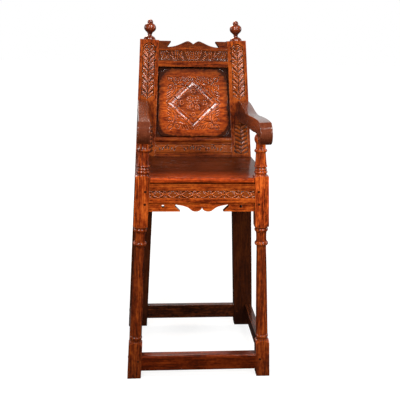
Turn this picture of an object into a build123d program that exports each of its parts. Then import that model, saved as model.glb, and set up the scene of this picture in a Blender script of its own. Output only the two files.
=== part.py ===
from build123d import *
import os
from math import atan, cos, radians, sin, sqrt, tan

# A child's wainscot chair in oak: two leaning side frames joined by pegged cross rails.
# Millimetres. X runs to the right as the chair is seen from the front, Y back and Z up.
# "Depth" is measured back from the front posts' face, "height" up from the floor, and
# "inset" inwards from a side frame's outer face.

# Stance
front_half_width = 213.0  # to a front post's outer face, at the floor
rear_half_width = 218.0  # to a rear post's outer face, at the floor
side_lean = 2.5  # degrees that each side frame leans inwards
foot_depth = 378.6  # front posts' face to rear posts' face, at the floor
seat_post_depth = 364.3  # the same at the seat, where the rear posts bend
back_rake = 15.1  # degrees that the back leans above the bend

# Posts
front_post_size = 40.0
rear_post_width = 63.4
rear_post_depth = 42.0
rear_post_bend = 60.0  # radius that softens the bend
post_top = 983.0  # the tops are cut level, not square to the slope of the back
foot_wear = 1.4  # radius worn on the feet's lower edges
edge_wear = 1.5  # radius worn on the long edges of posts and stretchers

# Carved reserves on the rear posts' front faces, as lengths up the slope of the back
reserve_width = 42.0
reserve_inset = 10.0
reserve_sink = 2.5
lower_reserve_bottom = 9.0
lower_reserve_top = 110.0
upper_reserve_bottom = 189.0
upper_reserve_top = 379.5  # the crown of its arched top

# Front post turnings, as heights and radii about the post's own axis
foot_block_top = 113.0
pommel_drop = 9.0  # how far a block's corners are turned away
base_ring_height = 125.5
base_ring_radius = 18.8
column_bottom = 133.0
column_foot_radius = 17.5
column_top = 406.5
column_neck_radius = 14.0
collar_height = 414.0
collar_radius = 19.6
capital_height = 455.0
capital_radius = 19.6
seat_block_bottom = 464.0
seat_block_top = 613.0
sill_ring_height = 622.5
sill_ring_radius = 18.8
upper_ring_height = 629.8
upper_ring_radius = 17.2
flare_height = 639.5
flare_radius = 18.4
support_top = 677.5
support_neck_radius = 14.2
support_ring_height = 683.5
support_ring_radius = 18.3
bulb_radius = 18.0
bulb_neck_radius = 13.8
bulb_top = 731.5  # where the arm sits on the post
bulb_seat_radius = 10.0
arm_dowel_radius = 8.5
arm_dowel_length = 22.0

# Seat board
seat_top = 606.5
seat_thickness = 17.0
seat_front_depth = 1.0
seat_nose = 7.5  # rounding of its front edge
seat_gap = 1.2  # all round the posts
seat_tongue = 30.0  # how far it runs back between the rear posts
seat_rebate = 2.0  # depth of the rebate in which the lower back rail stands

# Rails under the seat
rail_thickness = 25.0
front_rail_setback = 2.5
front_rail_height = 80.0
apron_height = 19.0  # the thinner lower part of the front rail
apron_setback = 3.0
cove_height = 7.0  # between the front rail's lower band and its apron
lower_band_height = 12.5
carved_band_height = 22.5
carved_band_sink = 1.5
cord_hole_radius = 4.5
cord_hole_offset = 110.0
cord_hole_rise = 15.0  # above the apron's lower edge
side_rail_height = 70.0
side_rail_thickness = 22.0
side_rail_setback = 2.5
rear_rail_height = 65.0
rear_rail_setback = 4.0

# Stretchers near the floor
front_stretcher_bottom = 24.5
front_stretcher_height = 46.0
front_stretcher_thickness = 29.0
front_stretcher_setback = 1.0
front_stretcher_wear = 7.0  # radius worn by feet on its top front edge
rear_stretcher_bottom = 27.0
rear_stretcher_height = 47.0
rear_stretcher_thickness = 22.0
rear_stretcher_setback = 5.0
side_stretcher_bottom = 36.0
side_stretcher_height = 43.0
side_stretcher_thickness = 22.0
side_stretcher_setback = 2.5

# Scrolled edges: distance from the middle of the board, and rise from its straight edge.
# Tip, notch, round and hook, then the long S curve, the lobe and the cleft.
apron_scroll = (
    (61.0, 0.0),
    (73.0, 12.0),
    (76.0, 16.5),
    (69.0, 19.0),
    (50.0, 15.5),
    (37.5, 10.0),
    (26.8, 2.0),
    (15.5, 0.0),
    (5.0, 4.0),
    (0.0, 11.0),
)
crest_scroll = (
    (74.0, 0.0),
    (85.0, 15.3),
    (86.2, 18.3),
    (83.0, 20.1),
    (67.5, 18.3),
    (54.0, 14.5),
    (38.5, 7.8),
    (26.0, 2.0),
    (18.5, 0.0),
    (10.0, 2.7),
    (0.0, 9.8),
)

# Back rails, as lengths up the slope of the back from the bend in the posts
back_rail_thickness = 24.0
back_rail_setback = 2.0
lower_rail_top = 63.7
lower_bead_height = 17.0
lower_bead_swell = 4.0
lower_bead_fall = 2.0  # how far the bead's top edge lies behind the rail's face
lower_band_bottom = 10.5
lower_band_height_on_back = 32.0
lower_rail_lift = 0.3  # clear of the seat board
top_rail_bottom = 299.0
top_fillet_height = 18.5
top_band_height = 35.0
top_bead_height = 11.0
top_bead_swell = 1.5
crest_top = 385.3
crest_setback = 3.0
crest_thickness = 17.0
band_sink = 3.0

# Panel between the back rails
panel_thickness = 12.0
panel_edge = 5.6  # thickness of the tongue round the panel
panel_tongue = 6.0  # how far it reaches into its grooves
panel_margin = 9.0  # the thin border that shows round the raised field
panel_bevel = 4.0
panel_recess = 8.0  # from the rails' face to the field
lozenge_half_width = 85.0
lozenge_half_height = 76.0
lozenge_rise = 3.0  # of its middle above the middle of the panel
lozenge_fillet = 6.0  # the flat rim, along the lozenge's long axis
lozenge_hollow = 19.5  # the sunk moulding inside the rim
lozenge_inner_fillet = 5.0
lozenge_sink = 2.5
rosette_radius = 24.5
roundel_radius = 7.0
roundel_offset = 36.5

# Arms. Rises and falls are measured from their seats on the front posts' bulbs.
arm_width = 34.0
arm_height_at_back = 70.0
arm_back_rise = 55.5  # of the upper edge at the rear post
arm_flank_rise = 51.0  # the upper edge a little in front of it
arm_slope_rise = 40.5
arm_dip_rise = 34.0  # lowest point of the upper edge
arm_shoulder_rise = 39.5  # over the front post
arm_belly_fall = 4.0  # lowest point of the lower edge behind the front post
arm_waist_fall = 3.0
arm_throat_fall = 9.0  # the lower edge near the rear post
arm_roll_radius = 30.0
arm_roll_reach = 38.0  # from the front posts' face forward to the roll's centre
arm_roll_rise = 6.5  # of the roll's centre
arm_crease_reach = 8.0  # from the roll's centre to where the upper edge breaks
arm_crease_rise = 38.0
arm_facet_angle = 129.3  # where the flat below the crease meets the roll, in degrees
arm_throat_round = 4.0  # in the corner behind the roll
arm_edge_round = 3.0

# Finials, along their own axis
finial_base_radius = 20.2
finial_rim_height = 2.2
finial_neck_radius = 6.8
finial_neck_height = 16.5
finial_ball_radius = 20.0
finial_ball_height = 38.6
finial_knob_radius = 9.4
finial_height = 65.2
spigot_radius = 7.0
spigot_length = 24.0

# Joints
tenon_thickness = 9.0
tenon_length = 19.0  # along the side frames, and into the front posts
rear_tenon_length = 30.0  # of the cross rails, into the rear posts
top_tenon_length = 20.0  # of the top rail, which stops short of the finials' spigots
tenon_setback = 9.5  # from a post's face to a tenon's cheek
tenon_shoulder = 9.0  # from a deep rail's edge to its tenon
stretcher_shoulder = 4.5  # the same on a stretcher
mortise_end_gap = 1.0
fit_gap = 0.1  # on each cheek of a tenon, spigot or tongue
peg_radius = 3.6
peg_inset = 11.0  # from a shoulder to the pegs
peg_depth = 24.0
peg_proud = 0.6
peg_gap = 0.03
front_rail_peg_heights = (531.0, 567.0)
top_rail_peg_rises = (319.5, 346.5, 363.0)  # up the slope of the back
lower_rail_peg_rises = (19.0, 34.0)
rear_rail_peg_heights = (542.0, 572.0)
side_rail_peg_heights = (537.0, 572.0)
front_stretcher_peg_height = 55.0
seat_peg_radius = 4.0
seat_peg_length = 38.0
seat_peg_offset = 95.0  # of the front pair, from the middle
seat_peg_depths = (120.0, 270.0)  # of the pegs into the side rails

# Worked out from the sizes above
toe = atan((rear_half_width - front_half_width) / foot_depth)
lean = radians(side_lean)
rake = radians(back_rake)
leg_slope = (seat_post_depth - foot_depth) / seat_top
seat_bottom = seat_top - seat_thickness
post_axis = front_post_size / 2
arm_back_top = bulb_top + arm_back_rise
arm_roll_height = bulb_top + arm_roll_rise
top_front_depth = seat_post_depth + tan(rake) * (post_top - seat_top)
top_back_depth = top_front_depth + rear_post_depth / cos(rake)

# Y of the front posts' face, so that the chair is centred between its arms and its back
skew = post_top * sin(lean) + rear_post_width * cos(lean)
back_reach = top_back_depth * cos(toe) + skew * sin(toe)
arm_skew = arm_roll_height * sin(lean)
arm_reach = (arm_roll_reach + arm_roll_radius) * cos(toe) - arm_skew * sin(toe)
front_face = (arm_reach - back_reach) / 2
wide = 2 * rear_half_width  # longer than any cross rail
underground = -20.0  # the legs are cut level with the floor from here


# Frames of reference
def side_plane(hand):
    """The outer face of a side frame: x runs back, z into the chair."""
    inward = Vector(-hand * cos(toe), sin(toe), 0)
    normal = inward * cos(lean) - Vector(0, 0, sin(lean))
    back = Vector(hand * sin(toe), cos(toe), 0)
    return Plane((hand * front_half_width, front_face, 0), x_dir=back, z_dir=normal)


def front_plane(depth):
    """An upright plane that faces the front: x runs to the right and y up."""
    return Plane((0, front_face + depth, 0), x_dir=(1, 0, 0), z_dir=(0, -1, 0))


def section_plane(plane):
    """The cross-section of a rail on a plane: x runs towards its front and y up its face."""
    return Plane(plane.origin, x_dir=plane.z_dir, z_dir=-plane.x_dir)


def rear_face(height):
    """Depth of the rear posts' front face at a height."""
    if height < seat_top:
        return foot_depth + leg_slope * height
    return seat_post_depth + tan(rake) * (height - seat_top)


def half_width(inset, depth, height):
    """Half the chair's width between the two side frames, at an inset."""
    inwards = inset - sin(toe) * cos(lean) * depth + sin(lean) * height
    return front_half_width - inwards / (cos(toe) * cos(lean))


left_side = side_plane(-1)
right_side = side_plane(1)
bend = (0, front_face + seat_post_depth, seat_top)
back_plane = Plane(bend, x_dir=(1, 0, 0), z_dir=(0, -cos(rake), sin(rake)))


def post_face(depth, height, slope):
    """The front face of a left post: x runs inwards and y up the face."""
    corner = left_side.from_local_coords(Vector(depth, height, 0))
    normal = left_side.y_dir * sin(slope) - left_side.x_dir * cos(slope)
    return Plane(corner, x_dir=left_side.z_dir, z_dir=normal)


front_post_face = post_face(0, 0, 0)
rear_leg_face = post_face(foot_depth, 0, atan(leg_slope))
stile_face = post_face(seat_post_depth, seat_top, rake)


# Shapes that more than one piece uses
def prism(plane, points, thickness):
    """A board cut to an outline on a plane, with its thickness along the plane's normal."""
    with BuildPart() as board:
        with BuildSketch(plane):
            with BuildLine():
                Polyline(*points, close=True)
            make_face()
        extrude(amount=thickness)
    return board.part


def bar(plane, low, high, thickness):
    """A bar behind a plane that is longer than the chair is wide."""
    ends = [(-wide, low), (wide, low), (wide, high), (-wide, high)]
    return prism(plane, ends, -thickness)


def between(solid, post_width, reach=0.0):
    """A cross piece trimmed to the posts' inner faces, or to a reach beyond them."""
    with BuildPart() as trimmed:
        add(solid)
        for side in (left_side, right_side):
            split(bisect_by=side.offset(post_width - reach), keep=Keep.TOP)
    return trimmed.part


def cross_tenons(plane, low, high, post_width, length, gap=0.0):
    """The tenons on both ends of a cross rail, or with a gap its mortises."""
    strip = bar(plane.offset(gap), low - gap, high + gap, tenon_thickness + 2 * gap)
    end = mortise_end_gap if gap else 0.0
    return between(strip, post_width, length + end)


def side_bar(low, high, inset, thickness, reach=0.0):
    """A bar of the left side frame between its posts, or with a reach into them."""
    front = front_post_size - reach
    outline = [
        (front, low),
        (rear_face(low) + reach, low),
        (rear_face(high) + reach, high),
        (front, high),
    ]
    return prism(left_side.offset(inset), outline, thickness)


def side_tenons(low, high, gap=0.0):
    """Both tenons of a side rail, or with a gap their mortises."""
    reach = tenon_length + (mortise_end_gap if gap else 0.0)
    cheeks = tenon_thickness + 2 * gap
    return side_bar(low - gap, high + gap, tenon_setback - gap, cheeks, reach)


def pin(plane, centre, radius, start, end):
    """A round pin square to a plane, from one offset to another."""
    with BuildPart() as body:
        with BuildSketch(plane.offset(start)):
            with Locations(centre):
                Circle(radius)
        extrude(amount=end - start)
    return body.part


def mirrored(solid):
    """The same solid on the other side of the chair."""
    with BuildPart() as twin:
        mirror(solid, about=Plane.YZ)
    return twin.part


def both_sides(solids):
    """Solids of the left side, with their mirror images."""
    return solids + [mirrored(solid) for solid in solids]


def scroll_waste(plane, base, way, points):
    """The wood sawn away from a scrolled edge that lies at base and rises one way."""
    tip, notch, corner, hook, *curve = [(x, base + way * rise) for x, rise in points]
    clear = base - way * front_rail_height / 2
    with BuildPart() as waste:
        with BuildSketch(plane):
            with BuildLine():
                Line(tip, notch)
                ThreePointArc(notch, corner, hook)
                Spline(hook, *curve)
                Polyline(curve[-1], (0, clear), (tip[0], clear), tip)
            make_face()
            mirror(about=Plane.YZ)
        extrude(amount=wide, both=True)
    return waste.part


# Where each cross rail sits
front_rail_plane = front_plane(front_rail_setback)
front_rail_bottom = seat_bottom - front_rail_height
apron_top = front_rail_bottom + apron_height
rear_rail_plane = front_plane(rear_face(seat_bottom) + rear_rail_setback)
rear_rail_bottom = seat_bottom - rear_rail_height
side_rail_bottom = seat_bottom - side_rail_height
front_stretcher_plane = front_plane(front_stretcher_setback)
front_stretcher_top = front_stretcher_bottom + front_stretcher_height
rear_stretcher_plane = front_plane(foot_depth + rear_stretcher_setback)
rear_stretcher_top = rear_stretcher_bottom + rear_stretcher_height
side_stretcher_top = side_stretcher_bottom + side_stretcher_height
back_rail_plane = back_plane.offset(-back_rail_setback)
lower_band_top = lower_band_bottom + lower_band_height_on_back
top_band_bottom = top_rail_bottom + top_fillet_height
top_band_top = top_band_bottom + top_band_height
top_bead_top = top_band_top + top_bead_height

# Tenons: the plane of the front cheek, low, high, the post's width and the length
front_cheek = front_plane(tenon_setback)
rear_cheek = front_plane(rear_face(seat_bottom) + tenon_setback)
foot_cheek = front_plane(foot_depth + tenon_setback)
back_cheek = back_plane.offset(-tenon_setback)
front_rail_tenons = (
    front_cheek,
    front_rail_bottom + tenon_shoulder,
    seat_bottom - tenon_shoulder,
    front_post_size,
    tenon_length,
)
front_stretcher_tenons = (
    front_cheek,
    front_stretcher_bottom + stretcher_shoulder,
    front_stretcher_top - stretcher_shoulder,
    front_post_size,
    tenon_length,
)
rear_rail_tenons = (
    rear_cheek,
    rear_rail_bottom + tenon_shoulder,
    seat_bottom - tenon_shoulder,
    rear_post_width,
    rear_tenon_length,
)
rear_stretcher_tenons = (
    foot_cheek,
    rear_stretcher_bottom + stretcher_shoulder,
    rear_stretcher_top - stretcher_shoulder,
    rear_post_width,
    rear_tenon_length,
)
lower_rail_tenons = (
    back_cheek,
    lower_band_bottom,
    lower_band_top,
    rear_post_width,
    rear_tenon_length,
)
top_rail_tenons = (
    back_cheek,
    top_rail_bottom + tenon_shoulder,
    crest_top - tenon_shoulder,
    rear_post_width,
    top_tenon_length,
)
side_rail_tenons = (side_rail_bottom + tenon_shoulder, seat_bottom - tenon_shoulder)
side_stretcher_tenons = (
    side_stretcher_bottom + stretcher_shoulder,
    side_stretcher_top - stretcher_shoulder,
)
arm_tenon_low = arm_back_top - arm_height_at_back + tenon_shoulder
arm_tenon_high = arm_back_top - tenon_shoulder


def arm_tenon(gap=0.0):
    """The tenon from the left arm into the rear post, or with a gap its mortise."""
    low = arm_tenon_low - gap
    high = arm_tenon_high + gap
    end = tenon_length + (mortise_end_gap if gap else 0.0)
    outline = [
        (rear_face(low), low),
        (rear_face(low) + end, low),
        (rear_face(high) + end, high),
        (rear_face(high), high),
    ]
    cheek = left_side.offset((arm_width - tenon_thickness) / 2 - gap)
    return prism(cheek, outline, tenon_thickness + 2 * gap)


# Pegs of the left side. A gap makes the holes for them.
def cross_pegs(plane, face, post_width, heights, gap=0.0):
    """Pegs that run back from a post's face through the tenons of a cross rail."""
    inner = left_side.offset(post_width)
    pegs = []
    for height in heights:
        middle = plane.from_local_coords(Vector(0, height, 0))
        shoulder = (inner.origin - middle).dot(inner.z_dir) / plane.x_dir.dot(inner.z_dir)
        centre = (shoulder - peg_inset, height)
        to_face = face.origin - plane.from_local_coords(Vector(*centre, 0))
        entry = to_face.dot(face.z_dir) / plane.z_dir.dot(face.z_dir)
        start = entry + peg_proud
        pegs.append(pin(plane, centre, peg_radius + gap, start, entry - peg_depth))
    return pegs


def side_pegs(heights, gap=0.0):
    """Pegs that run inwards through both tenons of a side rail."""
    pegs = []
    for height in heights:
        for depth in (front_post_size - peg_inset, rear_face(height) + peg_inset):
            centre = (depth, height)
            pegs.append(pin(left_side, centre, peg_radius + gap, -peg_proud, peg_depth))
    return pegs


def front_frame_pegs(gap=0.0):
    heights = (*front_rail_peg_heights, front_stretcher_peg_height)
    return cross_pegs(front_plane(0), front_post_face, front_post_size, heights, gap)


def rear_frame_pegs(gap=0.0):
    foot = rear_stretcher_bottom + rear_stretcher_height / 2
    heights = (foot, *rear_rail_peg_heights)
    return cross_pegs(front_plane(foot_depth), rear_leg_face, rear_post_width, heights, gap)


def back_pegs(gap=0.0):
    rises = (*lower_rail_peg_rises, *top_rail_peg_rises)
    return cross_pegs(back_plane, stile_face, rear_post_width, rises, gap)


def side_frame_pegs(gap=0.0):
    foot = side_stretcher_bottom + side_stretcher_height / 2
    return side_pegs((foot, *side_rail_peg_heights), gap)


def arm_pegs(gap=0.0):
    """One peg through the arm's tenon and one through the dowel of the front post."""
    height = (arm_tenon_low + arm_tenon_high) / 2
    back = (rear_face(height) + peg_inset, height)
    front = (post_axis, bulb_top + arm_dowel_length / 2)
    return [
        pin(left_side, back, peg_radius + gap, -peg_proud, peg_depth),
        pin(left_side, front, peg_radius + gap, -peg_proud, arm_width - stretcher_shoulder),
    ]


def seat_pegs(gap=0.0):
    """Pegs that run down through the seat into the front and side rails."""
    places = [(-seat_peg_offset, front_face + front_rail_setback + rail_thickness / 2)]
    rail_middle = side_rail_setback + side_rail_thickness / 2
    for depth in seat_peg_depths:
        places.append((-half_width(rail_middle, depth, seat_bottom), front_face + depth))
    top = Plane.XY.offset(seat_top)
    return [pin(top, place, seat_peg_radius + gap, 0.0, -seat_peg_length) for place in places]


# Front posts, turned between square blocks
post_foot = left_side.offset(post_axis).from_local_coords(Vector(post_axis, 0, 0))
post_section = Plane(post_foot, x_dir=left_side.x_dir, z_dir=left_side.z_dir)
corner_radius = front_post_size / sqrt(2) + 0.5


def turned(draw_profile):
    """The solid that a half profile makes about the left front post's axis."""
    with BuildPart() as body:
        with BuildSketch(post_section):
            with BuildLine():
                draw_profile()
            make_face()
        revolve(axis=Axis(post_foot, post_section.y_dir))
    return body.part


def square_block(low, high, draw_envelope):
    """A square block of the post whose ends are turned to an envelope."""
    envelope = turned(draw_envelope)
    with BuildPart() as block:
        with BuildSketch(left_side):
            with Locations((post_axis, (low + high) / 2)):
                Rectangle(front_post_size, high - low)
        extrude(amount=front_post_size)
        fillet(block.edges().filter_by(Axis((0, 0, 0), left_side.y_dir)), edge_wear)
        add(envelope, mode=Mode.INTERSECT)
    return block.part


def bead(height, radius, half_height, root):
    """Draws one rounded ring of a turning and gives its lower and upper root."""
    low = (root, height - half_height)
    high = (root, height + half_height)
    ThreePointArc(low, (radius, height), high)
    return low, high


def foot_envelope():
    """The foot block's pommel: its corners are turned away below a round crown."""
    crown_height = foot_block_top + 1.5
    crown = (base_ring_radius - 2.0, crown_height)
    shoulder = (corner_radius, foot_block_top - pommel_drop)
    Polyline(crown, (0, crown_height), (0, underground), (corner_radius, underground), shoulder)
    ThreePointArc(shoulder, (post_axis + 3.5, foot_block_top - 2.5), crown)


def seat_block_envelope():
    """The seat block's softer pommels at both ends."""
    drop = pommel_drop / 2
    rim = post_axis - 1.0
    waist = post_axis + 5.0
    low = (corner_radius, seat_block_bottom + drop)
    high = (corner_radius, seat_block_top - drop)
    Polyline(
        (rim, seat_block_top),
        (0, seat_block_top),
        (0, seat_block_bottom),
        (rim, seat_block_bottom),
    )
    ThreePointArc((rim, seat_block_bottom), (waist, seat_block_bottom + drop / 3), low)
    Line(low, high)
    ThreePointArc(high, (waist, seat_block_top - drop / 3), (rim, seat_block_top))


def leg_profile():
    """The leg between the blocks: ring, tapering column, collar, neck and capital."""
    foot = foot_block_top + 1.0
    top = seat_block_bottom + 1.0
    ring_low, ring_high = bead(base_ring_height, base_ring_radius, 6.0, 16.4)
    collar_low, collar_high = bead(collar_height, collar_radius, 6.5, 15.2)
    capital_low, capital_high = bead(capital_height, capital_radius, 6.5, 15.6)
    column_low = (column_foot_radius, column_bottom)
    column_high = (column_neck_radius, column_top)
    middle = (column_bottom + column_top) / 2
    swell = ((column_foot_radius + column_neck_radius) / 2 + 0.5, middle)
    neck = (column_neck_radius + 0.8, (collar_height + capital_height) / 2)
    Polyline(ring_low, (16.0, foot), (0, foot), (0, top), (15.0, top), capital_high)
    Line(ring_high, column_low)
    ThreePointArc(column_low, swell, column_high)
    Line(column_high, collar_low)
    ThreePointArc(collar_high, neck, capital_low)


def support_profile():
    """The arm support: two rings, a flared column, a ring, a bulb and a dowel."""
    sill = (17.6, seat_block_top - 1.0)
    sill_low, sill_high = bead(sill_ring_height, sill_ring_radius, 3.9, 16.2)
    upper_low, upper_high = bead(upper_ring_height, upper_ring_radius, 3.1, 15.2)
    ring_low, ring_high = bead(support_ring_height, support_ring_radius, 4.2, 14.8)
    flare_low = (flare_radius - 0.8, flare_height - 2.4)
    flare_high = (flare_radius - 1.6, flare_height + 2.6)
    neck = (support_neck_radius, support_top)
    ThreePointArc(sill, (16.0, seat_block_top + 2.5), sill_low)
    Line(sill_high, upper_low)
    Polyline(upper_high, (14.8, flare_height - 4.6), flare_low)
    ThreePointArc(flare_low, (flare_radius, flare_height), flare_high)
    ThreePointArc(flare_high, (support_neck_radius + 1.5, flare_height + 14.0), neck)
    Line(neck, ring_low)
    bulb_centre = bulb_top - sqrt(bulb_radius**2 - bulb_seat_radius**2)
    bulb_foot = bulb_centre - sqrt(bulb_radius**2 - bulb_neck_radius**2)
    bulb_low = (bulb_neck_radius, bulb_foot)
    ThreePointArc(ring_high, (bulb_neck_radius - 0.2, bulb_foot - 5.5), bulb_low)
    ThreePointArc(bulb_low, (bulb_radius, bulb_centre), (bulb_seat_radius, bulb_top))
    dowel_top = bulb_top + arm_dowel_length
    Polyline(
        (bulb_seat_radius, bulb_top),
        (arm_dowel_radius, bulb_top),
        (arm_dowel_radius, dowel_top),
        (0, dowel_top),
        (0, sill[1]),
        sill,
    )


with BuildPart() as front_post:
    add(square_block(underground, foot_block_top + 2.0, foot_envelope))
    add(turned(leg_profile))
    add(square_block(seat_block_bottom, seat_block_top, seat_block_envelope))
    add(turned(support_profile))
    split(bisect_by=Plane.XY, keep=Keep.TOP)
    fillet(front_post.faces().sort_by(Axis.Z)[0].edges(), foot_wear)
    add(cross_tenons(*front_rail_tenons, gap=fit_gap), mode=Mode.SUBTRACT)
    add(cross_tenons(*front_stretcher_tenons, gap=fit_gap), mode=Mode.SUBTRACT)
    add(side_tenons(*side_rail_tenons, gap=fit_gap), mode=Mode.SUBTRACT)
    add(side_tenons(*side_stretcher_tenons, gap=fit_gap), mode=Mode.SUBTRACT)
    for holes in (front_frame_pegs, side_frame_pegs, arm_pegs):
        add(holes(peg_gap), mode=Mode.SUBTRACT)

# Rear posts, each sawn in one piece with a bend at the seat
half_bend = (rake - atan(leg_slope)) / 2
knee_reach = rear_post_depth / cos(half_bend)
knee_fall = half_bend + atan(leg_slope)
knee = (seat_post_depth + knee_reach * cos(knee_fall), seat_top - knee_reach * sin(knee_fall))
rear_outline = [
    (rear_face(underground), underground),
    (seat_post_depth, seat_top),
    (top_front_depth, post_top),
    (top_back_depth, post_top),
    knee,
    (rear_face(underground) + rear_post_depth, underground),
]

# The panel reaches into one groove that runs round the posts and both back rails
tongue_face = panel_recess + panel_thickness - panel_edge
panel_groove = between(
    bar(
        back_rail_plane.offset(fit_gap - tongue_face),
        lower_rail_top - panel_tongue - mortise_end_gap,
        top_rail_bottom + panel_tongue + mortise_end_gap,
        panel_edge + 2 * fit_gap,
    ),
    rear_post_width,
    panel_tongue + mortise_end_gap,
)

# The finials stand upright in the side frames, over the middle of the posts' level tops
top_middle = Vector((top_front_depth + top_back_depth) / 2, post_top, 0)
finial_foot = left_side.offset(rear_post_width / 2).from_local_coords(top_middle)
finial_plane = Plane(finial_foot, x_dir=left_side.x_dir, z_dir=left_side.y_dir)
finial_section = Plane(finial_foot, x_dir=left_side.x_dir, z_dir=left_side.z_dir)

reserve_end = reserve_inset + reserve_width
reserve_middle = (reserve_inset + reserve_end) / 2

with BuildPart() as rear_post:
    with BuildSketch(left_side) as outline:
        with BuildLine():
            Polyline(*rear_outline, close=True)
        make_face()
        fillet(outline.vertices().sort_by(Axis.Y)[2:4], rear_post_bend)
    extrude(amount=rear_post_width)
    for face in rear_post.faces().filter_by(Axis((0, 0, 0), left_side.z_dir)):
        fillet(face.edges(), edge_wear)
    split(bisect_by=Plane.XY, keep=Keep.TOP)
    fillet(rear_post.faces().sort_by(Axis.Z)[0].edges(), foot_wear)
    with BuildSketch(stile_face):
        with Locations((reserve_middle, (lower_reserve_bottom + lower_reserve_top) / 2)):
            Rectangle(reserve_width, lower_reserve_top - lower_reserve_bottom)
        with BuildLine():
            arch_spring = upper_reserve_top - reserve_width / 2
            Polyline(
                (reserve_inset, arch_spring),
                (reserve_inset, upper_reserve_bottom),
                (reserve_end, upper_reserve_bottom),
                (reserve_end, arch_spring),
            )
            ThreePointArc(
                (reserve_end, arch_spring),
                (reserve_middle, upper_reserve_top),
                (reserve_inset, arch_spring),
            )
        make_face()
    extrude(amount=-reserve_sink, mode=Mode.SUBTRACT)
    add(cross_tenons(*rear_rail_tenons, gap=fit_gap), mode=Mode.SUBTRACT)
    add(cross_tenons(*rear_stretcher_tenons, gap=fit_gap), mode=Mode.SUBTRACT)
    add(cross_tenons(*lower_rail_tenons, gap=fit_gap), mode=Mode.SUBTRACT)
    add(cross_tenons(*top_rail_tenons, gap=fit_gap), mode=Mode.SUBTRACT)
    add(side_tenons(*side_rail_tenons, gap=fit_gap), mode=Mode.SUBTRACT)
    add(side_tenons(*side_stretcher_tenons, gap=fit_gap), mode=Mode.SUBTRACT)
    add(arm_tenon(gap=fit_gap), mode=Mode.SUBTRACT)
    add(panel_groove, mode=Mode.SUBTRACT)
    socket_end = -spigot_length - mortise_end_gap
    add(pin(finial_plane, (0, 0), spigot_radius + fit_gap, 1.0, socket_end), mode=Mode.SUBTRACT)
    for holes in (rear_frame_pegs, back_pegs, side_frame_pegs, arm_pegs):
        add(holes(peg_gap), mode=Mode.SUBTRACT)

# Front seat rail: moulded bands above an apron with a scrolled lower edge
band_bottom = apron_top + cove_height
carved_bottom = band_bottom + lower_band_height
carved_top = carved_bottom + carved_band_height
cord_hole_height = front_rail_bottom + cord_hole_rise

with BuildPart() as front_seat_rail:
    with BuildSketch(section_plane(front_rail_plane)):
        with BuildLine():
            cove_low = (-apron_setback, apron_top)
            cove_middle = (-0.75 * apron_setback, apron_top + 0.65 * cove_height)
            ThreePointArc((0, band_bottom), cove_middle, cove_low)
            Polyline(
                cove_low,
                (-apron_setback, front_rail_bottom),
                (-rail_thickness, front_rail_bottom),
                (-rail_thickness, seat_bottom),
                (0, seat_bottom),
                (0, carved_top),
                (-carved_band_sink, carved_top - carved_band_sink),
                (-carved_band_sink, carved_bottom + carved_band_sink),
                (0, carved_bottom),
                (0, band_bottom),
            )
        make_face()
    extrude(amount=wide, both=True)
    for side in (left_side, right_side):
        split(bisect_by=side.offset(front_post_size), keep=Keep.TOP)
    add(cross_tenons(*front_rail_tenons))
    add(scroll_waste(front_rail_plane, front_rail_bottom, 1, apron_scroll), mode=Mode.SUBTRACT)
    with BuildSketch(front_rail_plane):
        with Locations(
            (-cord_hole_offset, cord_hole_height),
            (cord_hole_offset, cord_hole_height),
        ):
            Circle(cord_hole_radius)
    extrude(amount=-rail_thickness, mode=Mode.SUBTRACT)
    for holes in (front_frame_pegs, seat_pegs):
        add(both_sides(holes(peg_gap)), mode=Mode.SUBTRACT)

# Plain cross rails
with BuildPart() as rear_seat_rail:
    plank = bar(rear_rail_plane, rear_rail_bottom, seat_bottom, rail_thickness)
    add(between(plank, rear_post_width))
    add(cross_tenons(*rear_rail_tenons))
    add(both_sides(rear_frame_pegs(peg_gap)), mode=Mode.SUBTRACT)

with BuildPart() as front_stretcher:
    plank = bar(
        front_stretcher_plane,
        front_stretcher_bottom,
        front_stretcher_top,
        front_stretcher_thickness,
    )
    add(between(plank, front_post_size))
    top_edges = front_stretcher.edges().filter_by(Axis.X).group_by(Axis.Z)[-1]
    fillet(top_edges.sort_by(Axis.Y)[0], front_stretcher_wear)
    low_edges = front_stretcher.edges().filter_by(Axis.X).group_by(Axis.Z)[0]
    fillet(low_edges, edge_wear)
    add(cross_tenons(*front_stretcher_tenons))
    add(both_sides(front_frame_pegs(peg_gap)), mode=Mode.SUBTRACT)

with BuildPart() as rear_stretcher:
    plank = bar(
        rear_stretcher_plane,
        rear_stretcher_bottom,
        rear_stretcher_top,
        rear_stretcher_thickness,
    )
    add(between(plank, rear_post_width))
    fillet(rear_stretcher.edges().filter_by(Axis.X), edge_wear)
    add(cross_tenons(*rear_stretcher_tenons))
    add(both_sides(rear_frame_pegs(peg_gap)), mode=Mode.SUBTRACT)

# Side rails. The seat rail's upper edge is planed level for the seat board.
with BuildPart() as side_seat_rail:
    add(side_bar(side_rail_bottom, seat_top, side_rail_setback, side_rail_thickness))
    split(bisect_by=Plane.XY.offset(seat_bottom), keep=Keep.BOTTOM)
    add(side_tenons(*side_rail_tenons))
    for holes in (side_frame_pegs, seat_pegs):
        add(holes(peg_gap), mode=Mode.SUBTRACT)

with BuildPart() as side_stretcher:
    add(
        side_bar(
            side_stretcher_bottom,
            side_stretcher_top,
            side_stretcher_setback,
            side_stretcher_thickness,
        )
    )
    fillet(side_stretcher.edges().filter_by(Axis((0, 0, 0), left_side.x_dir)), edge_wear)
    add(side_tenons(*side_stretcher_tenons))
    add(side_frame_pegs(peg_gap), mode=Mode.SUBTRACT)

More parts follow.
